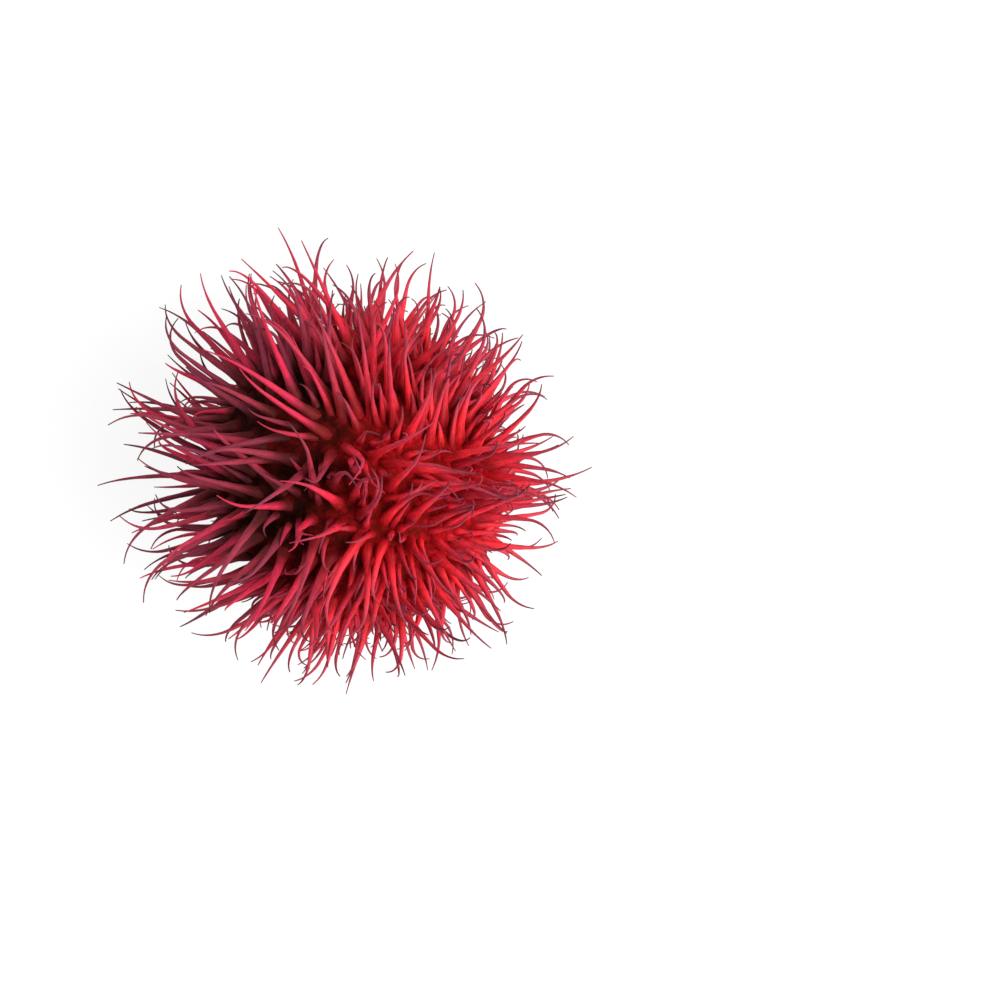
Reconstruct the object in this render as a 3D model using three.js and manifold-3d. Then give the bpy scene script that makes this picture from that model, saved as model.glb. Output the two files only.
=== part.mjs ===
// A whole rambutan, picked clean from its branch and lying on its side.
//
// The fruit is one solid: an egg-round rind, the soft hairs that grow out of it, and at the stem end a
// small woody scar with the stunted nub of its twin carpel beside it. It lies on the hairs of its
// underside, which bend outwards along the surface below and are pressed flat where they touch it.
//
// Millimetres, +Z up. The origin is on the surface that the fruit lies on, below the middle of its box.

import * as THREE from 'three';
import { mergeVertices } from 'three/addons/utils/BufferGeometryUtils.js';
import Module from 'manifold-3d';

const wasm = await Module();
wasm.setup();

// Rind: half of its length from stem end to apex, then half of its two widths
const RIND_RADII = new THREE.Vector3(21.4, 19.8, 20);
const RIND_CENTRE = new THREE.Vector3(1.354, -2.052, 23.5);
const RIND_DETAIL = 4;
const STEM_DIRECTION = new THREE.Vector3(0.72, -0.45, -0.42).normalize();

// Hairs: thick and fleshy at the root, tapering to a thin tip
const HAIR_COUNT = 440;
const HAIR_SHORTEST = 10.4;
const HAIR_LONGEST = 17;
const STEM_SHORTENING = 0.16;  // share by which hairs are shorter at the stem end, and longer at the apex
const ROOT_RADIUS = 0.74;
const TIP_RADIUS = 0.08;
const TAPER_POWER = 1.15;
const ROOT_DEPTH = 1;          // how far a hair's root is sunk into the rind
const BARE_STEM_END = 0.972;   // cosine of the angle round the stem end that has no hairs

// How far a root strays from its place on the spiral: along it in places, round it in spacings
const STRAY_ALONG = 0.4;
const STRAY_ROUND = 1.6;
const LEAST_GIRTH = 0.25;      // keeps the stray round the two ends small

// The way the hairs lean and curl
const SWEEP = new THREE.Vector3(-0.2, 0.14, 0);   // all of them lean away from the stem end
const SPLAY = 0.55;            // share of its rise that an upper hair keeps as it flops outwards
const SPLAY_BELOW = 0.85;      // share of its fall that a lower hair keeps
const LEAN_JITTER = 0.22;      // each hair's own lean
const TUFT_LEAN = 0.35;        // the lean that neighbours share, which gathers them in tufts
const TUFT_FREQUENCY = 9;      // in radians per radius of the rind
const TUFT_SKEW = 0.4;         // share of that frequency along a second axis
const CURL = 0.45;             // bend over a whole hair, in radians
const LEAST_CURL = 0.2;        // share of it that the straightest hair has
const HOOK = 0.55;             // further bend of its tip, on average
const HOOK_SHARE = 1 / 3;      // share of the hair's length that the tip takes

// How a hair is drawn
const HAIR_STEPS = 12;         // steps that its route is marched in
const STEPS_PER_RING = 6;      // steps between two cross-sections
const BENT_STEPS_PER_RING = 4; // the same for a hair that is bent along the surface below
const BENT_BELOW = 3;          // height of the tip of such a hair
const HAIR_SIDES = 3;

// The surface below
const REST_HEIGHT = 0.2;       // a pressed hair's middle is this share of its radius above the surface
const SINK_SHARE = 0.6;        // most of the remaining height that one step may take
const REST_SPREAD = 0.15;      // how strongly it turns outwards as it lies down
const SURFACE_BLOCK = 120;     // size of the block that trims the undersides flat

// Stem scar and nub
const SCAR_RADIUS = 2.6;
const SCAR_HEIGHT = 1.1;       // above the rind
const SCAR_EDGE = 0.4;         // width and height of its rounded edge
const SCAR_DISH = 0.4;         // depth of the hollow in its middle
const SCAR_DISH_RADIUS = 1.3;
const SCAR_FOOT_RADIUS = 3.1;
const SCAR_SEGMENTS = 20;
const NUB_RADIUS = 2;
const NUB_ANGLE = 0.26;        // round the rind from the middle of the scar, in radians
const NUB_DETAIL = 2;

const GOLDEN_ANGLE = Math.PI * (3 - Math.sqrt(5));
const MERGE_DISTANCE = 1e-4;
const UP = new THREE.Vector3(0, 0, 1);

// The draws that each hair makes
const DRAW = { along: 1, round: 2, lean: 3, bend: 6, length: 9, curl: 10, hook: 11 };

// The fruit's own axes: along its length towards the stem end, and two across it
const levelAxis = STEM_DIRECTION.clone().cross(UP).normalize();
const raisedAxis = levelAxis.clone().cross(STEM_DIRECTION);
const fruitAxes = new THREE.Matrix4().makeBasis(STEM_DIRECTION, raisedAxis, levelAxis);

// A repeatable number from 0 to 1 for each draw of each hair: the end digits of a large sine wave
function chance(hair, draw) {
  const wave = Math.sin(hair * 12.9898 + draw * 78.233) * 43758.5453;
  return wave - Math.floor(wave);
}

// The same from -1 to 1
function spread(hair, draw) {
  return 2 * chance(hair, draw) - 1;
}

function spreadVector(hair, firstDraw) {
  return new THREE.Vector3(spread(hair, firstDraw), spread(hair, firstDraw + 1), spread(hair, firstDraw + 2));
}

// The point of the rind in a direction given on the fruit's own axes, and the rind's normal there
function rindPoint(direction) {
  return direction.clone().multiply(RIND_RADII).applyMatrix4(fruitAxes).add(RIND_CENTRE);
}

function rindNormal(direction) {
  return direction.clone().divide(RIND_RADII).applyMatrix4(fruitAxes).normalize();
}

// Roots follow a golden-angle spiral from the stem end to the apex, each moved a little off it
function rootDirection(hair) {
  const along = 1 - 2 * (hair + 0.5 + STRAY_ALONG * spread(hair, DRAW.along)) / HAIR_COUNT;
  const girth = Math.sqrt(1 - along * along);
  const stray = STRAY_ROUND * spread(hair, DRAW.round) / Math.sqrt(HAIR_COUNT) / Math.max(LEAST_GIRTH, girth);
  const turn = hair * GOLDEN_ANGLE + stray;
  return new THREE.Vector3(along, girth * Math.sin(turn), girth * Math.cos(turn));
}

function tuftLean({ x, y, z }) {
  const wave = (main, side, phase) => Math.sin(TUFT_FREQUENCY * (main + TUFT_SKEW * side) + phase);
  return new THREE.Vector3(wave(y, z, 0), wave(z, x, 1), wave(x, y, 2)).multiplyScalar(TUFT_LEAN);
}

function hairRadius(share) {
  return TIP_RADIUS + (ROOT_RADIUS - TIP_RADIUS) * (1 - share) ** TAPER_POWER;
}

// The heading of a hair that has come down to the surface: outwards along it, sinking only as given
function layDown(heading, point, sink) {
  const outward = point.clone().sub(RIND_CENTRE).setZ(0).normalize().multiplyScalar(REST_SPREAD);
  const level = heading.clone().setZ(0).add(outward).normalize();
  return level.multiplyScalar(Math.sqrt(1 - sink * sink)).setZ(-sink);
}

// A hair's route from its root to its tip, one point for each step
function hairRoute(hair) {
  const direction = rootDirection(hair);
  const heading = rindNormal(direction)
    .add(SWEEP)
    .addScaledVector(spreadVector(hair, DRAW.lean), LEAN_JITTER)
    .add(tuftLean(direction));
  heading.z *= heading.z > 0 ? SPLAY : SPLAY_BELOW;
  heading.normalize();
  const bendAxis = heading.clone().cross(spreadVector(hair, DRAW.bend)).normalize();
  const drawnLength = HAIR_SHORTEST + (HAIR_LONGEST - HAIR_SHORTEST) * chance(hair, DRAW.length);
  const length = drawnLength * (1 - STEM_SHORTENING * direction.x);
  const curl = CURL * (LEAST_CURL + chance(hair, DRAW.curl));
  const hook = 2 * HOOK * chance(hair, DRAW.hook);
  const step = length / HAIR_STEPS;
  const route = [rindPoint(direction)];
  for (let taken = 1; taken <= HAIR_STEPS; taken++) {
    const share = taken / HAIR_STEPS;
    const tipBend = share > 1 - HOOK_SHARE ? hook / HOOK_SHARE : 0;
    heading.applyAxisAngle(bendAxis, (2 * curl * share + tipBend) / HAIR_STEPS);
    const last = route[route.length - 1];
    const clearance = Math.max(0, last.z - REST_HEIGHT * hairRadius(share));
    const sink = Math.min(1, SINK_SHARE * clearance / step);
    if (-heading.z > sink) heading.copy(layDown(heading, last, sink));
    route.push(last.clone().addScaledVector(heading, step));
  }
  return route;
}

// A closed solid from a list of coordinates and a list of triangles
function solid(coordinates, corners) {
  const vertProperties = new Float32Array(coordinates);
  const triVerts = new Uint32Array(corners);
  return new wasm.Manifold(new wasm.Mesh({ numProp: 3, vertProperties, triVerts }));
}

function solidFromGeometry(geometry) {
  geometry.deleteAttribute('normal');
  geometry.deleteAttribute('uv');
  const merged = mergeVertices(geometry, MERGE_DISTANCE);
  return solid(merged.attributes.position.array, merged.index.array);
}

// One cross-section of a hair, counter-clockwise as seen from its tip, with a flat side underneath
function hairSection(centre, heading, sideways, radius) {
  const underside = heading.clone().cross(sideways);
  return Array.from({ length: HAIR_SIDES }, (_, side) => {
    const angle = 2 * Math.PI * side / HAIR_SIDES - Math.PI / 2;
    return centre.clone()
      .addScaledVector(sideways, radius * Math.cos(angle))
      .addScaledVector(underside, radius * Math.sin(angle));
  });
}

// A hair as a tapered rod along its route, its root sunk into the rind and its tip a single point
function hairSolid(hair) {
  const route = hairRoute(hair);
  const spacing = route[HAIR_STEPS].z < BENT_BELOW ? BENT_STEPS_PER_RING : STEPS_PER_RING;
  const stations = route.filter((point, index) => index % spacing === 0);
  const rings = stations.length - 1;
  const rootHeading = stations[1].clone().sub(stations[0]).normalize();
  const sideways = rootHeading.clone().cross(UP);
  stations[0].addScaledVector(rootHeading, -ROOT_DEPTH);
  const points = [];
  for (let ring = 0; ring < rings; ring++) {
    const heading = stations[ring + 1].clone().sub(stations[Math.max(0, ring - 1)]).normalize();
    sideways.addScaledVector(heading, -sideways.dot(heading)).normalize();
    points.push(...hairSection(stations[ring], heading, sideways, hairRadius(ring / rings)));
  }
  const tip = points.length;
  points.push(stations[rings]);

  const corners = [];
  for (let side = 0; side < HAIR_SIDES; side++) {
    const next = (side + 1) % HAIR_SIDES;
    for (let low = 0; low < tip - HAIR_SIDES; low += HAIR_SIDES) {
      const high = low + HAIR_SIDES;
      corners.push(low + side, low + next, high + next, low + side, high + next, high + side);
    }
    const last = tip - HAIR_SIDES;
    corners.push(last + side, last + next, tip);
    if (side > 0 && next > 0) corners.push(0, next, side);
  }
  return solid(points.flatMap((point) => point.toArray()), corners);
}

function rindSolid() {
  const geometry = new THREE.IcosahedronGeometry(1, RIND_DETAIL);
  geometry.scale(...RIND_RADII);
  geometry.applyMatrix4(fruitAxes);
  geometry.translate(...RIND_CENTRE);
  return solidFromGeometry(geometry);
}

// The dished disc where the stem broke off: a profile turned about the fruit's length
function scarSolid() {
  const foot = RIND_RADII.x - ROOT_DEPTH;
  const top = RIND_RADII.x + SCAR_HEIGHT;
  const profile = [
    new THREE.Vector2(0, foot),
    new THREE.Vector2(SCAR_FOOT_RADIUS, foot),
    new THREE.Vector2(SCAR_RADIUS, top - SCAR_EDGE),
    new THREE.Vector2(SCAR_RADIUS - SCAR_EDGE, top),
    new THREE.Vector2(SCAR_DISH_RADIUS, top - SCAR_DISH),
    new THREE.Vector2(0, top - SCAR_DISH),
  ];
  const geometry = new THREE.LatheGeometry(profile, SCAR_SEGMENTS);
  const turned = new THREE.Quaternion().setFromUnitVectors(new THREE.Vector3(0, 1, 0), STEM_DIRECTION);
  geometry.applyQuaternion(turned);
  geometry.translate(...RIND_CENTRE);
  return solidFromGeometry(geometry);
}

// The twin carpel that never grew, a nub beside the scar
function nubSolid() {
  const geometry = new THREE.IcosahedronGeometry(NUB_RADIUS, NUB_DETAIL);
  geometry.translate(...rindPoint(new THREE.Vector3(Math.cos(NUB_ANGLE), Math.sin(NUB_ANGLE), 0)));
  return solidFromGeometry(geometry);
}

// Everything below the surface, as one block
function surfaceBlock() {
  const geometry = new THREE.BoxGeometry(SURFACE_BLOCK, SURFACE_BLOCK, SURFACE_BLOCK);
  geometry.translate(0, 0, -SURFACE_BLOCK / 2);
  return solidFromGeometry(geometry);
}

function wholeFruit() {
  const hairs = Array.from({ length: HAIR_COUNT }, (_, hair) => hair)
    .filter((hair) => rootDirection(hair).x < BARE_STEM_END)
    .map(hairSolid);
  return wasm.Manifold.union([rindSolid(), scarSolid(), nubSolid(), ...hairs]).subtract(surfaceBlock());
}

function geometryFromSolid(body) {
  const mesh = body.getMesh();
  const geometry = new THREE.BufferGeometry();
  geometry.setAttribute('position', new THREE.BufferAttribute(mesh.vertProperties, 3));
  geometry.setIndex(new THREE.BufferAttribute(mesh.triVerts, 1));
  geometry.computeVertexNormals();
  return geometry;
}

const rindMaterial = new THREE.MeshStandardMaterial({ color: 0xa8202c, roughness: 0.5, metalness: 0 });

const fruit = new THREE.Mesh(geometryFromSolid(wholeFruit()), rindMaterial);
fruit.name = 'rambutan_fruit';

const rambutan = new THREE.Group();
rambutan.name = 'rambutan';
rambutan.add(fruit);

export default rambutan;
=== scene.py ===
# A whole rambutan, lying on its side on a pale floor and seen from straight above.
#
# The hairs follow the same routes as those of the frame's solid, drawn finer: each is a soft tapering rod
# with a flared root. Lengths are in millimetres while the shapes are worked out, and in metres in the
# meshes.

import math

import bmesh
import bpy
import numpy as np
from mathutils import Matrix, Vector, noise
from mathutils.kdtree import KDTree


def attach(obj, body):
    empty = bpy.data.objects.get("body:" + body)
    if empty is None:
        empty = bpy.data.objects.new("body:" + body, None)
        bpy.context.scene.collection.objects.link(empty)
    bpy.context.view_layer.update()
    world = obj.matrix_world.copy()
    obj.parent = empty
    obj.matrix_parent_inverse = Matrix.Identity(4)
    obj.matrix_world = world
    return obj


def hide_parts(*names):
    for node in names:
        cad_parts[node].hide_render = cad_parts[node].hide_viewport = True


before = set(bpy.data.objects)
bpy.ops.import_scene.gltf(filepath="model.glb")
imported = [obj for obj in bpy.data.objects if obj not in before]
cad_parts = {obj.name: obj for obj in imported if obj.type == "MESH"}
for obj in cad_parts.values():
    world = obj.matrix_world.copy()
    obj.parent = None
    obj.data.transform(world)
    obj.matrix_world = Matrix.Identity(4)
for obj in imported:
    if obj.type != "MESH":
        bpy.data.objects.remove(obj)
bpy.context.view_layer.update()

NODE = "rambutan_fruit"
BODY = "root"
MM = 0.001

# Rind: half of its length from stem end to apex, then half of its two widths
RIND_RADII = np.array([21.4, 19.8, 20.0])
RIND_CENTRE = np.array([1.354, -2.052, 23.5])
STEM_DIRECTION = np.array([0.72, -0.45, -0.42]) / np.linalg.norm([0.72, -0.45, -0.42])

# Hairs: how many, how long and how thick
HAIR_COUNT = 440
HAIR_SHORTEST = 10.4
HAIR_LONGEST = 17.0
ROOT_RADIUS = 0.74
TIP_RADIUS = 0.08
TAPER_POWER = 1.15
ROOT_DEPTH = 1.0               # how deep a root is sunk in the rind
BARE_STEM_END = 0.972          # how far along the axis, from -1 to 1, the bare end at the stem begins
STEM_SHORTENING = 0.16         # hairs get longer from the stem end to the apex by this share
# How far a root strays from the spiral, along it and round it
STRAY_ALONG = 0.4
STRAY_ROUND = 1.6
LEAST_GIRTH = 0.25
# Which way they lean: all of them, each on its own, and in tufts
SWEEP = np.array([-0.20, 0.14, 0.0])
SPLAY = 0.55                   # share of its rise that an upper hair keeps as it flops outwards
SPLAY_BELOW = 0.85             # share of its fall that a lower hair keeps
LEAN_JITTER = 0.22
TUFT_LEAN = 0.35
TUFT_FREQUENCY = 9.0
TUFT_SKEW = 0.4
# How they bend: evenly, and more in the last part
CURL = 0.45
LEAST_CURL = 0.2
HOOK = 0.55
HOOK_SHARE = 1 / 3
HAIR_STEPS = 12
# How a hair that comes down to the floor lies along it
REST_HEIGHT = 0.2              # share of its radius that its middle ends above the floor
SINK_SHARE = 0.6               # share of its height above that which it may fall in one step
REST_SPREAD = 0.15             # how much it turns outwards

# Short fine hairs between them, drawn only here
FIRST_SHORT_HAIR = 1000        # where their draws begin
SHORT_HAIR_TRIES = 3000
SHORT_HAIR_GAP = 1.2           # least distance to another root
SHORT_HAIR_SHORTEST = 3.0
SHORT_HAIR_LONGEST = 9.0
SHORT_HAIR_RADIUS = 0.5

# How finely a hair is drawn
HAIR_RINGS = 22
HAIR_SIDES = 10
SHORT_HAIR_RINGS = 14
SHORT_HAIR_SIDES = 8
FLATNESS = 0.14                # how much flatter than wide a hair is
FLARE = 0.55                   # how much wider its root is
FLARE_LENGTH = 1.3
WAVER = 0.06                   # how unevenly thick it is
WAVER_FREQUENCY = 1.7
ROOT_TWIST = 0.3               # share of its twist that a flat hair has at its root
TIP_POINT = 1.5                # length of the last point, in radii of the tip
STRAND_STRETCH = 0.35          # how slowly the pattern changes along a hair
STRAND_GAP = 5.0               # how far apart two hairs are in the pattern

# The map that the pattern is baked through: one cell for each hair
UV_COLUMNS = 66
UV_MARGIN_ACROSS = 0.06
UV_MARGIN_ALONG = 0.03
UV_ROOT_END = 0.4              # how many rings below the first one the hidden end of the root reaches

# The skin between the hairs
SKIN_LEVEL = 7
MOUND_HEIGHT = 0.4             # each root stands on a low mound
MOUND_RADIUS = 1.5
SHORT_MOUND = 0.6              # size of a short hair's mound beside a long one's
GROOVE_DEPTH = 0.08            # with a shallow groove between the mounds
GROOVE_WIDTH = 0.7
WOBBLE = 0.5                   # how far the grooves wander off the straight
WOBBLE_SIZE = 1.6
WOBBLE_SEED = 1                # without it they would wander differently in every run
PIMPLE_HEIGHT = 0.06
PIMPLE_SIZE = 0.7
# Painted shade: how much darker than a mound's top the skin is in a groove and at the mound's foot, from
# 0 to 1
GROOVE_PAINTED_SHADE = 0.5
FOOT_PAINTED_SHADE = 0.7

# Stem scar and nub
SCAR_RADIUS = 2.6
SCAR_HEIGHT = 1.1
SCAR_DISH = 0.8                # how deep its middle lies below the rim
SCAR_TEAR = 0.22               # how ragged its face is, in broad waves with finer ones on them
SCAR_TEAR_WAVES = 3
SCAR_TEAR_FINE_WAVES = 8
SCAR_UNEVEN = 0.05             # how far its outline is from round, as shares of its radius
SCAR_FLUTES = 17
SCAR_FLUTE_DEPTH = 0.02
SCAR_SIDES = 96
# Its section from the rim's outside to the middle: share of the radius, then of the dish's depth
SCAR_PROFILE = [
    (1.04, -1.1), (1.05, -0.7), (1.03, -0.35), (0.99, -0.1),
    (0.93, 0.0), (0.86, -0.05), (0.79, -0.3), (0.72, -0.7),
    (0.64, -0.9), (0.56, -0.95), (0.48, -1.0), (0.41, -1.05),
    (0.35, -1.0), (0.29, -0.75), (0.22, -0.55), (0.12, -0.5),
]
SCAR_FOOT_RADIUS = 3.1
NUB_RADIUS = 2.0
NUB_ANGLE = 0.26
NUB_LEVEL = 5
NUB_LUMPS = 0.1                # height of its lumps and pimples, as shares of its radius
NUB_LUMP_WAVES = 1.7
NUB_PIMPLES = 0.03
NUB_PIMPLE_WAVES = 6
# The nub's painted shade, on the same scale as the rind's
NUB_PAINTED_SHADE = 0.4               # how dark its skin is, as on the rind

# Camera: straight above, the fruit left of the middle of the frame
FRAME_PIXELS = 1000
FRUIT_PIXEL = (357, 476)
FRAME_WIDTH = 150.0            # at the height of the fruit's middle
CAMERA_HEIGHT = 300.0          # above the fruit's middle
SENSOR_WIDTH = 36.0
NEAREST_SEEN = 10.0

# Floor: flat out to its radius, then a bend up into a wall
FLOOR_RADIUS = 900.0
FLOOR_BEND = 2000.0
FLOOR_BEND_STEPS = 32
FLOOR_TURN = math.radians(58)  # how far the bend goes
FLOOR_SIDES = 128
# It grows paler from the first distance to the second
FLOOR_NEAR = 150.0
FLOOR_FAR = 600.0
FLOOR_GLOW_NEAR = 0.85
FLOOR_GLOW_FAR = 0.96

GOLDEN_ANGLE = math.pi * (3 - math.sqrt(5))
UP = np.array([0.0, 0.0, 1.0])

# What turns the number of a hair and of a draw into a number from 0 to 1 that looks random
HAIR_MIXER = 12.9898
DRAW_MIXER = 78.233
MIXER_SCALE = 43758.5453
# Which draw of a hair settles what; lean and bend take three each
DRAW = {
    "along": 1, "round": 2, "lean": 3, "bend": 6, "length": 9,
    "curl": 10, "hook": 11, "tone": 12, "twist": 13, "sparse": 14,
}

# Painted shade on the side of the fruit away from the key light, with some of the fruit's own darker
# colour there: its middle, and the cosines of the angles from there at which it is full and at which it
# ends
PAINTED_SHADE_SIDE = np.array([-0.85, 0.15, 0.35])
PAINTED_SHADE_FULL = 0.72
PAINTED_SHADE_END = -0.05
PAINTED_SHADE_SPARSE = 0.9            # share of the short hairs missing in its middle


def unit(v):
    return v / np.linalg.norm(v)


LEVEL_AXIS = unit(np.cross(STEM_DIRECTION, UP))
RAISED_AXIS = np.cross(LEVEL_AXIS, STEM_DIRECTION)
FRUIT_AXES = np.stack([STEM_DIRECTION, RAISED_AXIS, LEVEL_AXIS], axis=1)


# ---------------------------------------------------------------- how the hairs grow

def chance(hair, draw):
    """A repeatable number from 0 to 1 for each draw of each hair."""
    wave = math.sin(hair * HAIR_MIXER + draw * DRAW_MIXER) * MIXER_SCALE
    return wave - math.floor(wave)


def spread(hair, draw):
    """The same from -1 to 1."""
    return 2 * chance(hair, draw) - 1


def spread_vector(hair, first_draw):
    return np.array([spread(hair, first_draw + k) for k in range(3)])


def rind_point(direction):
    """The place on the rind in a direction given along the fruit's own axes."""
    return FRUIT_AXES @ (direction * RIND_RADII) + RIND_CENTRE


def rind_normal(direction):
    return unit(FRUIT_AXES @ (direction / RIND_RADII))


def root_direction(hair):
    """Roots follow a golden-angle spiral from the stem end to the apex, each moved a little off it."""
    along = 1 - 2 * (hair + 0.5 + STRAY_ALONG * spread(hair, DRAW["along"])) / HAIR_COUNT
    girth = math.sqrt(1 - along * along)
    stray = STRAY_ROUND * spread(hair, DRAW["round"]) / math.sqrt(HAIR_COUNT) / max(LEAST_GIRTH, girth)
    turn = hair * GOLDEN_ANGLE + stray
    return np.array([along, girth * math.sin(turn), girth * math.cos(turn)])


def tuft_lean(direction):
    """How the hairs of one place lean together."""
    x, y, z = direction

    def wave(main, side, phase):
        return math.sin(TUFT_FREQUENCY * (main + TUFT_SKEW * side) + phase)

    return TUFT_LEAN * np.array([wave(y, z, 0), wave(z, x, 1), wave(x, y, 2)])


def hair_radius(share, root_radius=ROOT_RADIUS):
    """A hair's radius at a share of its length from the root, before its root flares."""
    return TIP_RADIUS + (root_radius - TIP_RADIUS) * (1 - share) ** TAPER_POWER


def lay_down(heading, point, sink):
    """The heading of a hair that has come down to the floor: outwards along it, sinking only as given."""
    outward = (point - RIND_CENTRE) * [1, 1, 0]
    level = unit(heading * [1, 1, 0] + REST_SPREAD * unit(outward))
    return level * math.sqrt(1 - sink * sink) - UP * sink


def turned(v, axis, angle):
    """A vector turned round an axis."""
    cos, sin = math.cos(angle), math.sin(angle)
    return v * cos + np.cross(axis, v) * sin + axis * (axis @ v) * (1 - cos)


def hair_route(hair, direction, shortest=HAIR_SHORTEST, longest=HAIR_LONGEST):
    """A hair's route from its root to its tip, one point for each step."""
    lean = SWEEP + LEAN_JITTER * spread_vector(hair, DRAW["lean"]) + tuft_lean(direction)
    heading = rind_normal(direction) + lean
    heading[2] *= SPLAY if heading[2] > 0 else SPLAY_BELOW
    heading = unit(heading)
    bend_axis = unit(np.cross(heading, spread_vector(hair, DRAW["bend"])))
    length = shortest + (longest - shortest) * chance(hair, DRAW["length"])
    length *= 1 - STEM_SHORTENING * direction[0]
    curl = CURL * (LEAST_CURL + chance(hair, DRAW["curl"]))
    hook = 2 * HOOK * chance(hair, DRAW["hook"])
    step = length / HAIR_STEPS
    route = [rind_point(direction)]
    for taken in range(1, HAIR_STEPS + 1):
        share = taken / HAIR_STEPS
        tip_bend = hook / HOOK_SHARE if share > 1 - HOOK_SHARE else 0
        heading = turned(heading, bend_axis, (2 * curl * share + tip_bend) / HAIR_STEPS)
        clearance = max(0, route[-1][2] - REST_HEIGHT * hair_radius(share))
        sink = min(1, SINK_SHARE * clearance / step)
        if -heading[2] > sink:
            heading = lay_down(heading, route[-1], sink)
        route.append(route[-1] + heading * step)
    return np.array(route)


def smooth(route, count):
    """The same route as a smooth curve through its points, at count even places."""
    ends = np.vstack([2 * route[0] - route[1], route, 2 * route[-1] - route[-2]])
    places = np.linspace(0, len(route) - 1, count)
    first = np.minimum(places.astype(int), len(route) - 2)
    t = (places - first)[:, None]
    a, b, c, d = (ends[first + k] for k in range(4))
    square, cube = 2 * a - 5 * b + 4 * c - d, 3 * b - a - 3 * c + d
    return 0.5 * (2 * b + (c - a) * t + square * t**2 + cube * t**3)


def short_hair_roots(roots):
    """Directions in the gaps between the roots given, each with the number of its hair."""
    taken = [rind_point(direction) for direction in roots.values()]
    found = {}
    for hair in range(FIRST_SHORT_HAIR, FIRST_SHORT_HAIR + SHORT_HAIR_TRIES):
        along = spread(hair, DRAW["along"])
        turn = 2 * math.pi * chance(hair, DRAW["round"])
        girth = math.sqrt(1 - along * along)
        direction = np.array([along, girth * math.sin(turn), girth * math.cos(turn)])
        point = rind_point(direction)
        clear = np.linalg.norm(np.array(taken) - point, axis=1).min() > SHORT_HAIR_GAP
        sparse = chance(hair, DRAW["sparse"]) < PAINTED_SHADE_SPARSE * painted_shade(rind_normal(direction))
        if clear and not sparse and along < BARE_STEM_END:
            taken.append(point)
            found[hair] = direction
    return found


def painted_shade(normal):
    """Painted shade: from 0 on most of the fruit to 1 in the middle of the side away from the key light.
    """
    share = (normal @ unit(PAINTED_SHADE_SIDE) - PAINTED_SHADE_END) / (PAINTED_SHADE_FULL - PAINTED_SHADE_END)
    share = np.clip(share, 0, 1)
    return share * share * (3 - 2 * share)


ROOTS = {hair: root_direction(hair) for hair in range(HAIR_COUNT)}
ROOTS = {hair: direction for hair, direction in ROOTS.items() if direction[0] < BARE_STEM_END}
SHORT_ROOTS = short_hair_roots(ROOTS)


# ---------------------------------------------------------------- meshes

def mesh_object(name, points, faces, material):
    """A smooth-shaded object from points in millimetres."""
    mesh = bpy.data.meshes.new(name)
    mesh.from_pydata((np.asarray(points) * MM).tolist(), [], faces)
    mesh.materials.append(material)
    mesh.shade_smooth()
    piece = bpy.data.objects.new(name, mesh)
    bpy.context.collection.objects.link(piece)
    return piece


def add_attribute(piece, name, kind, values):
    attribute = piece.data.attributes.new(name, kind, "POINT")
    key = {"FLOAT": "value", "FLOAT_VECTOR": "vector"}[kind]
    attribute.data.foreach_set(key, np.asarray(values, dtype=np.float32).ravel())


def belongs(piece):
    """Ties a piece to the fruit's body and hides the frame's solid of its node."""
    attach(piece, BODY)
    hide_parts(NODE)


def hair_rings(hair, route, root_radius, ring_count, side_count):
    """The rings of one hair, from the one sunk in the rind to the one at the tip, and how far along each
    one is."""
    route = smooth(route, ring_count)
    shares = np.linspace(0, 1, ring_count)
    travelled = np.concatenate([[0], np.cumsum(np.linalg.norm(np.diff(route, axis=0), axis=1))])
    headings = np.gradient(route, axis=0)
    headings /= np.linalg.norm(headings, axis=1)[:, None]
    sideways = np.cross(headings[0], UP)
    twist = math.pi * chance(hair, DRAW["twist"])
    angles = 2 * math.pi * np.arange(side_count) / side_count
    rings = []
    for centre, heading, share, gone in zip(route, headings, shares, travelled):
        sideways = unit(sideways - heading * (sideways @ heading))
        across = np.cross(heading, sideways)
        wide = hair_radius(share, root_radius) * (1 + FLARE * math.exp(-gone / FLARE_LENGTH))
        wide *= 1 + WAVER * math.sin(WAVER_FREQUENCY * gone + 2 * twist)
        turn = twist * (ROOT_TWIST + share)
        u = math.cos(turn) * sideways + math.sin(turn) * across
        v = math.cos(turn) * across - math.sin(turn) * sideways
        round_it = np.cos(angles)[:, None] * u + (1 - FLATNESS) * np.sin(angles)[:, None] * v
        rings.append(centre + wide * round_it)
    rings = np.array(rings)
    rings[0] -= ROOT_DEPTH * headings[0]
    rings[..., 2] = np.maximum(rings[..., 2], 0)
    return rings, travelled


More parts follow.
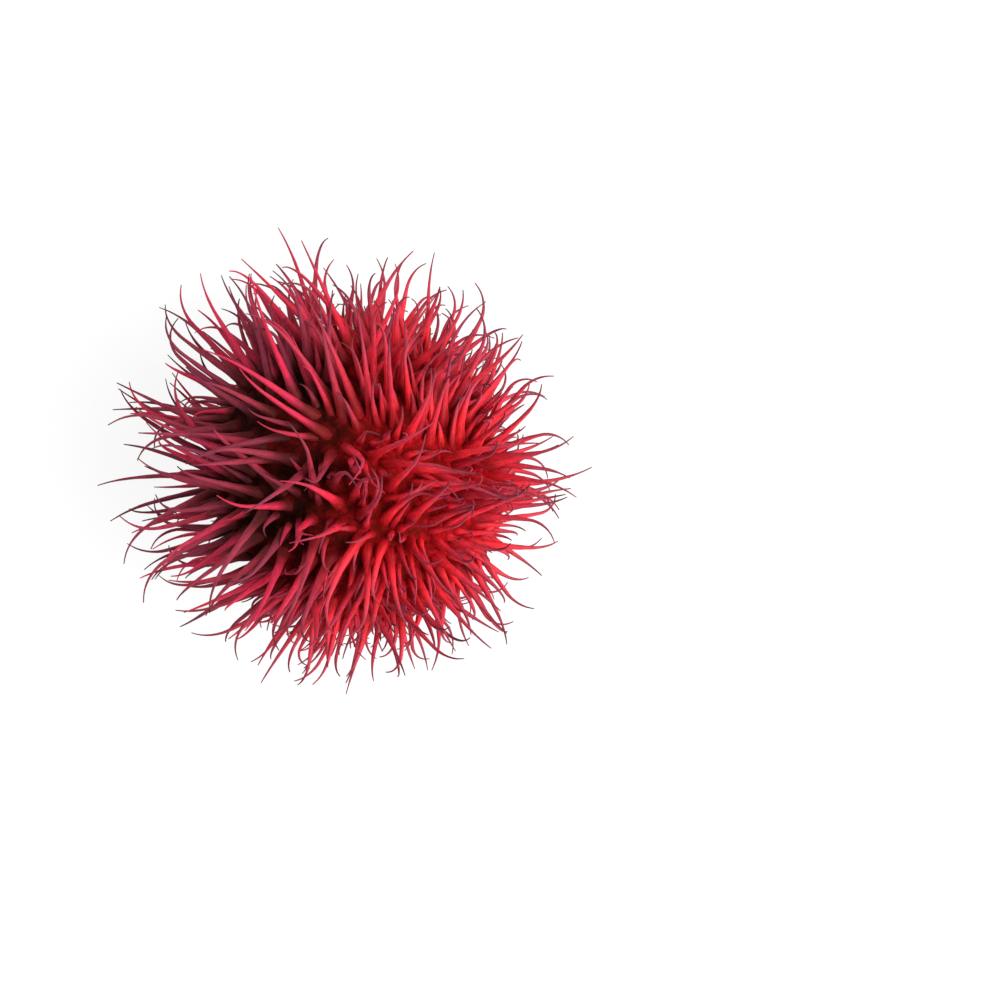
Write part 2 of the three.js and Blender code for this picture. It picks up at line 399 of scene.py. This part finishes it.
def make_hairs(name, roots, shortest, longest, root_radius, ring_count, side_count, material):
    """All the hairs of one kind as one mesh, with the attributes and the map that their material uses."""
    points, faces, strand, shares, tones, painted_shades, uvs = [], [], [], [], [], [], []
    rows = math.ceil(len(roots) / UV_COLUMNS)
    angles = 2 * math.pi * np.arange(side_count) / side_count
    for place, (hair, direction) in enumerate(roots.items()):
        rings, travelled = hair_rings(
            hair, hair_route(hair, direction, shortest, longest), root_radius, ring_count, side_count)
        start = len(points)
        tip = start + ring_count * side_count
        column, row = place % UV_COLUMNS, place // UV_COLUMNS

        def spot(side, ring):
            across = UV_MARGIN_ACROSS + (1 - 2 * UV_MARGIN_ACROSS) * side / side_count
            along = UV_MARGIN_ALONG + (1 - 2 * UV_MARGIN_ALONG) * ring / ring_count
            return (column + across) / UV_COLUMNS, (row + along) / rows

        for ring, (loop, gone) in enumerate(zip(rings, travelled)):
            points += list(loop)
            for a in angles:
                strand.append((math.cos(a), math.sin(a) + STRAND_GAP * place, STRAND_STRETCH * gone))
            shares += [ring / (ring_count - 1)] * side_count
        last = rings[-1].mean(axis=0)
        point = last + TIP_POINT * TIP_RADIUS * unit(last - rings[-2].mean(axis=0))
        point[2] = max(point[2], 0)
        points.append(point)
        strand.append((0, STRAND_GAP * place, STRAND_STRETCH * travelled[-1]))
        shares.append(1)
        tones += [chance(hair, DRAW["tone"])] * (tip + 1 - start)
        # Painted shade of the side away from the key light, the same all along each hair
        painted_shades += [float(painted_shade(rind_normal(direction)))] * (tip + 1 - start)
        for side in range(side_count):
            after = (side + 1) % side_count
            for ring in range(ring_count - 1):
                low = start + ring * side_count
                high = low + side_count
                faces.append((low + side, low + after, high + after, high + side))
                uvs += [spot(side, ring), spot(side + 1, ring)]
                uvs += [spot(side + 1, ring + 1), spot(side, ring + 1)]
            top = tip - side_count
            faces.append((top + side, top + after, tip))
            uvs += [spot(side, ring_count - 1), spot(side + 1, ring_count - 1)]
            uvs.append(spot(side + 0.5, ring_count))
        faces.append(tuple(start + side for side in reversed(range(side_count))))
        uvs += [spot(side, -UV_ROOT_END * (side % 2)) for side in reversed(range(side_count))]
    hairs = mesh_object(name, points, faces, material)
    add_attribute(hairs, "strand", "FLOAT_VECTOR", strand)
    add_attribute(hairs, "share", "FLOAT", shares)
    add_attribute(hairs, "tone", "FLOAT", tones)
    add_attribute(hairs, "painted_shade", "FLOAT", painted_shades)
    bake_map = hairs.data.uv_layers.new(name="OFBake")
    bake_map.data.foreach_set("uv", np.asarray(uvs, dtype=np.float32).ravel())
    return hairs


def unit_sphere(level):
    """The points and faces of a round icosphere of radius 1."""
    shape = bmesh.new()
    bmesh.ops.create_icosphere(shape, subdivisions=level, radius=1)
    points = np.array([v.co[:] for v in shape.verts])
    faces = [tuple(v.index for v in f.verts) for f in shape.faces]
    shape.free()
    return points, faces


def make_skin(material):
    """The rind, with a low mound under each root and soft hollows between the mounds."""
    directions, faces = unit_sphere(SKIN_LEVEL)
    directions /= np.linalg.norm(directions, axis=1)[:, None]
    roots = KDTree(len(ROOTS) + len(SHORT_ROOTS))
    for place, direction in enumerate([*ROOTS.values(), *SHORT_ROOTS.values()]):
        roots.insert(Vector(rind_point(direction)), place)
    roots.balance()
    base = (directions * RIND_RADII) @ FRUIT_AXES.T + RIND_CENTRE
    normals = (directions / RIND_RADII) @ FRUIT_AXES.T
    normals /= np.linalg.norm(normals, axis=1)[:, None]
    heights, painted_crease_shades = [], []
    noise.seed_set(WOBBLE_SEED)
    for point in base:
        wobble = WOBBLE * noise.noise_vector(Vector(point / WOBBLE_SIZE))
        (_, root, near), (_, _, after) = roots.find_n(Vector(point) + wobble, 2)
        size = 1 if root < len(ROOTS) else SHORT_MOUND
        mound = size * math.exp(-((near / (size * MOUND_RADIUS)) ** 2))
        groove = math.exp(-(((after - near) / GROOVE_WIDTH) ** 2))
        pimple = noise.noise(Vector(point / PIMPLE_SIZE))
        heights.append(MOUND_HEIGHT * mound - GROOVE_DEPTH * groove + PIMPLE_HEIGHT * pimple)
        # Painted shade, darker in the grooves and at the mounds' feet
        painted_crease_shades.append(min(1, GROOVE_PAINTED_SHADE * groove + FOOT_PAINTED_SHADE * (1 - mound)))
    skin = mesh_object("rind", base + normals * np.array(heights)[:, None], faces, material)
    add_attribute(skin, "painted_crease_shade", "FLOAT", painted_crease_shades)
    # Painted shade of the side away from the key light
    add_attribute(skin, "painted_shade", "FLOAT", painted_shade(normals))
    return skin


def make_scar(material):
    """The dished woody disc where the stem broke off: a ragged rim round sunken fibres and a low pith."""
    foot = RIND_RADII[0] - ROOT_DEPTH
    top = RIND_RADII[0] + SCAR_HEIGHT
    section = [(SCAR_FOOT_RADIUS, foot)]
    section += [(SCAR_RADIUS * out, top + SCAR_DISH * rise) for out, rise in SCAR_PROFILE]
    points, across = [], []
    for ring, (radius, height) in enumerate(section):
        for k in range(SCAR_SIDES):
            angle = 2 * math.pi * k / SCAR_SIDES
            side = Vector((2 * math.cos(angle), 2 * math.sin(angle), 0.5 * radius))
            rough = 1 + SCAR_UNEVEN * noise.noise(side)
            rough += SCAR_FLUTE_DEPTH * math.sin(SCAR_FLUTES * angle + ring)
            torn = noise.noise(SCAR_TEAR_WAVES * side) + 0.5 * noise.noise(SCAR_TEAR_FINE_WAVES * side)
            level = height + SCAR_TEAR * torn * (ring > 1)
            out = radius * rough
            place = np.array([level, out * math.cos(angle), out * math.sin(angle)])
            points.append(RIND_CENTRE + FRUIT_AXES @ place)
            across.append(radius / SCAR_RADIUS)
    centre = len(points)
    points.append(RIND_CENTRE + STEM_DIRECTION * section[-1][1])
    across.append(0)
    faces = []
    for ring in range(len(section) - 1):
        for k in range(SCAR_SIDES):
            after = (k + 1) % SCAR_SIDES
            low, high = ring * SCAR_SIDES, (ring + 1) * SCAR_SIDES
            faces.append((low + k, low + after, high + after, high + k))
    last = (len(section) - 1) * SCAR_SIDES
    faces += [(last + k, last + (k + 1) % SCAR_SIDES, centre) for k in range(SCAR_SIDES)]
    faces.append(tuple(reversed(range(SCAR_SIDES))))
    scar = mesh_object("stem_scar", points, faces, material)
    add_attribute(scar, "across", "FLOAT", across)
    return scar


def make_nub(material):
    """The stunted twin carpel beside the scar."""
    directions, faces = unit_sphere(NUB_LEVEL)
    place = rind_point(np.array([math.cos(NUB_ANGLE), math.sin(NUB_ANGLE), 0]))
    points = []
    for d in directions:
        lump = 1 + NUB_LUMPS * noise.noise(Vector(NUB_LUMP_WAVES * d))
        lump += NUB_PIMPLES * noise.noise(Vector(NUB_PIMPLE_WAVES * d))
        points.append(place + NUB_RADIUS * lump * d)
    nub = mesh_object("carpel_nub", points, faces, material)
    # The nub's skin gets a middling painted shade, as on the rind
    add_attribute(nub, "painted_crease_shade", "FLOAT", [NUB_PAINTED_SHADE] * len(points))
    # The nub gets no painted shade
    add_attribute(nub, "painted_shade", "FLOAT", [0] * len(points))
    return nub


# ---------------------------------------------------------------- materials

class Nodes:
    """A short way to write a material's nodes."""

    def __init__(self, name):
        self.material = bpy.data.materials.new(name)
        self.material.use_nodes = True
        self.tree = self.material.node_tree
        self.shader = self.tree.nodes["Principled BSDF"]

    def add(self, kind, inputs=(), **settings):
        node = self.tree.nodes.new(kind)
        for key, value in settings.items():
            setattr(node, key, value)
        for key, value in dict(inputs).items():
            self.set(node.inputs[key], value)
        return node

    def set(self, socket, value):
        if isinstance(value, bpy.types.NodeSocket):
            self.tree.links.new(value, socket)
        else:
            socket.default_value = value

    def attribute(self, name, output="Fac"):
        return self.add("ShaderNodeAttribute", attribute_name=name).outputs[output]

    def noise(self, vector, scale, detail=4.0, roughness=0.55):
        inputs = {"Vector": vector, "Scale": scale, "Detail": detail, "Roughness": roughness}
        return self.add("ShaderNodeTexNoise", inputs).outputs["Fac"]

    def sum(self, a, b, clamp=False):
        return self.add("ShaderNodeMath", {0: a, 1: b}, operation="ADD", use_clamp=clamp).outputs[0]

    def cells(self, vector, scale):
        """How far each place is from the edge of its cell."""
        inputs = {"Vector": vector, "Scale": scale}
        node = self.add("ShaderNodeTexVoronoi", inputs, feature="DISTANCE_TO_EDGE")
        return node.outputs["Distance"]

    def ramp(self, factor, stops):
        node = self.add("ShaderNodeValToRGB", {"Fac": factor})
        elements = node.color_ramp.elements
        while len(elements) < len(stops):
            elements.new(0.5)
        for element, (place, colour) in zip(elements, stops):
            element.position = place
            element.color = (*colour, 1)
        return node.outputs["Color"]

    def range(self, value, low, high, new_low, new_high):
        inputs = {
            "Value": value, "From Min": low, "From Max": high, "To Min": new_low, "To Max": new_high,
        }
        return self.add("ShaderNodeMapRange", inputs).outputs["Result"]

    def mix(self, factor, a, b, blend="MIX"):
        node = self.add("ShaderNodeMix", data_type="RGBA", blend_type=blend)
        for key, value in (("Factor_Float", factor), ("A_Color", a), ("B_Color", b)):
            socket = next(s for s in node.inputs if s.identifier == key)
            self.set(socket, (*value, 1) if isinstance(value, tuple) else value)
        return next(s for s in node.outputs if s.identifier == "Result_Color")

    def bump(self, height, strength, distance, normal=None):
        inputs = {"Height": height, "Strength": strength, "Distance": distance * MM}
        if normal is not None:
            inputs["Normal"] = normal
        return self.add("ShaderNodeBump", inputs).outputs["Normal"]

    def finish(self, **inputs):
        for key, value in inputs.items():
            self.set(self.shader.inputs[key.replace("_", " ")], value)
        return self.material


def hair_material():
    """Crimson hairs with purple-red tips; painted shade makes them wine-red away from the key light."""
    n = Nodes("fruit_hair")
    place = n.add("ShaderNodeTexCoord").outputs["Object"]
    strand = n.attribute("strand", "Vector")
    share = n.attribute("share")
    tone = n.attribute("tone")
    painted_shade_share = n.attribute("painted_shade")
    streaks = n.noise(strand, 3.2, detail=3)
    blotches = n.noise(place, 140, detail=3)
    bright = n.ramp(share, [
        (0.0, (0.42, 0.006, 0.012)),
        (0.3, (0.64, 0.015, 0.028)),
        (0.6, (0.43, 0.025, 0.049)),
        (0.85, (0.24, 0.025, 0.047)),
        (1.0, (0.15, 0.016, 0.028)),
    ])
    # The same hairs painted darker, as shade on the side away from the key light
    painted_shade_colour = n.ramp(share, [
        (0.0, (0.08, 0.005, 0.007)),
        (0.3, (0.26, 0.019, 0.038)),
        (0.6, (0.27, 0.022, 0.046)),
        (0.85, (0.18, 0.021, 0.039)),
        (1.0, (0.06, 0.009, 0.014)),
    ])
    # On the painted-shade side, hairs of low tone are pinker and are painted brighter as if they caught
    # the light
    painted_shade_and_lit_hairs = n.mix(n.range(tone, 0.5, 0.1, 0, 0.9), painted_shade_colour, (0.46, 0.014, 0.052))
    # Lit colour blended into painted shade towards the side away from the key light
    lit_and_painted_shade = n.mix(painted_shade_share, bright, painted_shade_and_lit_hairs)
    # Roots take the skin's colour, which carries the same painted shade
    skin_colour = n.mix(painted_shade_share, (0.36, 0.005, 0.009), (0.085, 0.006, 0.007))
    rooted = n.mix(n.range(share, 0.08, 0.22, 1, 0), lit_and_painted_shade, skin_colour)
    toned = n.mix(tone, rooted, (0.62, 0.85, 0.95), "MULTIPLY")
    mottled = n.mix(n.range(blotches, 0.42, 0.68, 0, 0.5), toned, (1.3, 1.1, 0.8), "MULTIPLY")
    streaked = n.mix(n.range(streaks, 0.35, 0.62, 0.7, 0), mottled, (0.35, 0.7, 0.5), "MULTIPLY")
    glossy = n.range(streaks, 0.3, 0.7, 0.38, 0.56)
    dull = n.range(streaks, 0.3, 0.7, 0.5, 0.7)
    normal = n.bump(streaks, 0.5, 0.12)
    normal = n.bump(n.noise(place, 2500, detail=2), 0.25, 0.05, normal)
    return n.finish(
        Base_Color=streaked,
        Roughness=n.mix(painted_shade_share, glossy, dull),
        Specular_IOR_Level=0.08,
        Subsurface_Weight=0.12,
        Subsurface_Radius=(1.0, 0.25, 0.15),
        Subsurface_Scale=0.8 * MM,
        Normal=normal,
    )


def skin_material():
    """Dark red skin, finely cracked and grained; painted shade makes it near black in the gaps away from
    the key light.
    """
    n = Nodes("fruit_skin")
    place = n.add("ShaderNodeTexCoord").outputs["Object"]
    painted_crease_shade = n.attribute("painted_crease_shade")
    painted_shade_share = n.attribute("painted_shade")
    blotches = n.noise(place, 160, detail=5)
    grain = n.noise(place, 1400, detail=3)
    # Darker from the mound tops to the grooves and the mounds' feet: painted shade in the skin's hollows
    bright = n.ramp(painted_crease_shade, [
        (0.0, (0.36, 0.003, 0.007)),
        (0.5, (0.28, 0.003, 0.006)),
        (1.0, (0.15, 0.004, 0.004)),
    ])
    # The same skin painted near black, as shade on the side away from the key light
    painted_shade_colour = n.ramp(painted_crease_shade, [
        (0.0, (0.055, 0.005, 0.005)),
        (0.5, (0.022, 0.0035, 0.003)),
        (1.0, (0.012, 0.0025, 0.002)),
    ])
    # Noise that makes the edge of the painted shade ragged
    patchy = n.range(n.noise(place, 90, detail=4), 0.35, 0.65, -0.35, 0.35)
    # Lit colour blended into painted shade towards the side away from the key light
    lit_and_painted_shade = n.mix(n.sum(painted_shade_share, patchy, clamp=True), bright, painted_shade_colour)
    mottled = n.mix(n.range(blotches, 0.4, 0.7, 0, 0.8), lit_and_painted_shade, (0.5, 0.9, 0.7), "MULTIPLY")
    cells = n.cells(place, 1100.0)
    cracked = n.mix(n.range(cells, 0.0, 0.12, 0.6, 0), mottled, (0.4, 0.6, 0.5), "MULTIPLY")
    grained = n.mix(n.range(grain, 0.3, 0.7, 0.6, 0), cracked, (0.4, 0.7, 0.6), "MULTIPLY")
    normal = n.bump(n.range(cells, 0, 0.25, 0, 1), 0.5, 0.08)
    normal = n.bump(grain, 0.6, 0.12, normal)
    return n.finish(
        Base_Color=grained,
        Roughness=n.range(grain, 0.3, 0.7, 0.6, 0.85),
        Specular_IOR_Level=0.0,
        Normal=normal,
    )


def scar_material():
    """Brown torn wood: a pale pith, a dark groove, a ring of fibres and a paler rim."""
    n = Nodes("woody_scar")
    place = n.add("ShaderNodeTexCoord").outputs["Object"]
    across = n.attribute("across")
    fibres = n.noise(place, 1500, detail=6, roughness=0.7)
    stains = n.noise(place, 420, detail=4)
    wandering = n.sum(across, n.range(stains, 0.3, 0.7, -0.06, 0.06))
    wood = n.ramp(wandering, [
        (0.0, (0.32, 0.17, 0.10)),
        (0.22, (0.28, 0.14, 0.08)),
        (0.32, (0.08, 0.027, 0.014)),
        (0.42, (0.06, 0.018, 0.010)),
        (0.56, (0.19, 0.080, 0.042)),
        (0.72, (0.12, 0.040, 0.022)),
        (0.86, (0.27, 0.125, 0.070)),
        (1.0, (0.16, 0.030, 0.020)),
    ])
    stained = n.mix(n.range(stains, 0.45, 0.65, 0, 0.7), wood, (0.55, 0.48, 0.45), "MULTIPLY")
    grained = n.mix(n.range(fibres, 0.35, 0.6, 0.8, 0), stained, (0.40, 0.35, 0.32), "MULTIPLY")
    return n.finish(
        Base_Color=grained,
        Roughness=n.range(fibres, 0.2, 0.8, 0.7, 0.95),
        Specular_IOR_Level=0.15,
        Normal=n.bump(fibres, 0.9, 0.25),
    )


def floor_material():
    """A dull floor with a glow of its own, which makes it as white as a lit studio floor."""
    n = Nodes("pale_floor")
    place = n.add("ShaderNodeTexCoord").outputs["Object"]
    away = n.add("ShaderNodeVectorMath", {0: place}, operation="LENGTH").outputs["Value"]
    glow = n.range(away, FLOOR_NEAR * MM, FLOOR_FAR * MM, FLOOR_GLOW_NEAR, FLOOR_GLOW_FAR)
    tint = n.ramp(n.noise(place, 30, detail=3), [(0.3, (0.10, 0.10, 0.10)), (0.7, (0.11, 0.11, 0.11))])
    return n.finish(
        Base_Color=tint,
        Roughness=0.9,
        Specular_IOR_Level=0.1,
        Emission_Color=(1, 1, 1, 1),
        Emission_Strength=glow,
    )


# ---------------------------------------------------------------- the stage

def make_floor():
    """A round floor that sweeps up into a low backdrop all round."""
    bend = np.linspace(0, FLOOR_TURN, FLOOR_BEND_STEPS)
    outs = FLOOR_RADIUS + FLOOR_BEND * np.sin(bend)
    heights = FLOOR_BEND * (1 - np.cos(bend))
    points, faces = [(0, 0, 0)], []
    for out, height in zip(outs, heights):
        for k in range(FLOOR_SIDES):
            angle = 2 * math.pi * k / FLOOR_SIDES
            points.append((out * math.cos(angle), out * math.sin(angle), height))
    for k in range(FLOOR_SIDES):
        after = (k + 1) % FLOOR_SIDES
        faces.append((0, 1 + k, 1 + after))
        for ring in range(len(outs) - 1):
            low, high = 1 + ring * FLOOR_SIDES, 1 + (ring + 1) * FLOOR_SIDES
            faces.append((low + k, high + k, high + after, low + after))
    mesh_object("floor", points, faces, floor_material())


def make_camera():
    """A camera straight above that sees the fruit's middle at FRUIT_PIXEL."""
    pixel = FRAME_WIDTH / FRAME_PIXELS
    middle = FRAME_PIXELS / 2
    across = (middle - FRUIT_PIXEL[0]) * pixel
    down = (middle - FRUIT_PIXEL[1]) * pixel
    data = bpy.data.cameras.new("camera")
    data.sensor_width = SENSOR_WIDTH
    data.lens = SENSOR_WIDTH * CAMERA_HEIGHT / FRAME_WIDTH
    data.clip_start = NEAREST_SEEN * MM
    camera = bpy.data.objects.new("camera", data)
    camera.location = Vector(RIND_CENTRE + [across, -down, CAMERA_HEIGHT]) * MM
    bpy.context.collection.objects.link(camera)
    bpy.context.scene.camera = camera


def soft_light(name, azimuth, tilt, distance, size, power, colour):
    """A square light that faces the fruit, tilted from straight above, and turned by azimuth from +X."""
    a, t = math.radians(azimuth), math.radians(tilt)
    towards = Vector((math.sin(t) * math.cos(a), math.sin(t) * math.sin(a), math.cos(t)))
    data = bpy.data.lights.new(name, "AREA")
    data.size = size
    data.energy = power
    data.color = colour
    light = bpy.data.objects.new(name, data)
    light.location = Vector(RIND_CENTRE * MM) + towards * distance
    light.rotation_mode = "QUATERNION"
    light.rotation_quaternion = towards.to_track_quat("Z", "Y")
    light.visible_camera = False
    bpy.context.collection.objects.link(light)


def make_world(strength):
    """Even white light from all round."""
    world = bpy.data.worlds.new("studio")
    world.use_nodes = True
    background = world.node_tree.nodes["Background"]
    background.inputs["Color"].default_value = (1, 1, 1, 1)
    background.inputs["Strength"].default_value = strength
    bpy.context.scene.world = world


make_camera()
make_floor()
soft_light("key", azimuth=-12, tilt=46, distance=0.7, size=0.65, power=15.6, colour=(1.0, 0.98, 0.97))
soft_light("fill", azimuth=145, tilt=72, distance=0.7, size=0.3, power=3.8, colour=(1.0, 1.0, 1.0))
make_world(strength=0.5)
bpy.context.scene.view_settings.view_transform = "Standard"

skin = skin_material()
hair = hair_material()
hairs = make_hairs("hairs", ROOTS, HAIR_SHORTEST, HAIR_LONGEST, ROOT_RADIUS, HAIR_RINGS, HAIR_SIDES, hair)
short_hairs = make_hairs(
    "short_hairs", SHORT_ROOTS, SHORT_HAIR_SHORTEST, SHORT_HAIR_LONGEST, SHORT_HAIR_RADIUS,
    SHORT_HAIR_RINGS, SHORT_HAIR_SIDES, hair)
for piece in (make_skin(skin), make_nub(skin), make_scar(scar_material()), hairs, short_hairs):
    belongs(piece)
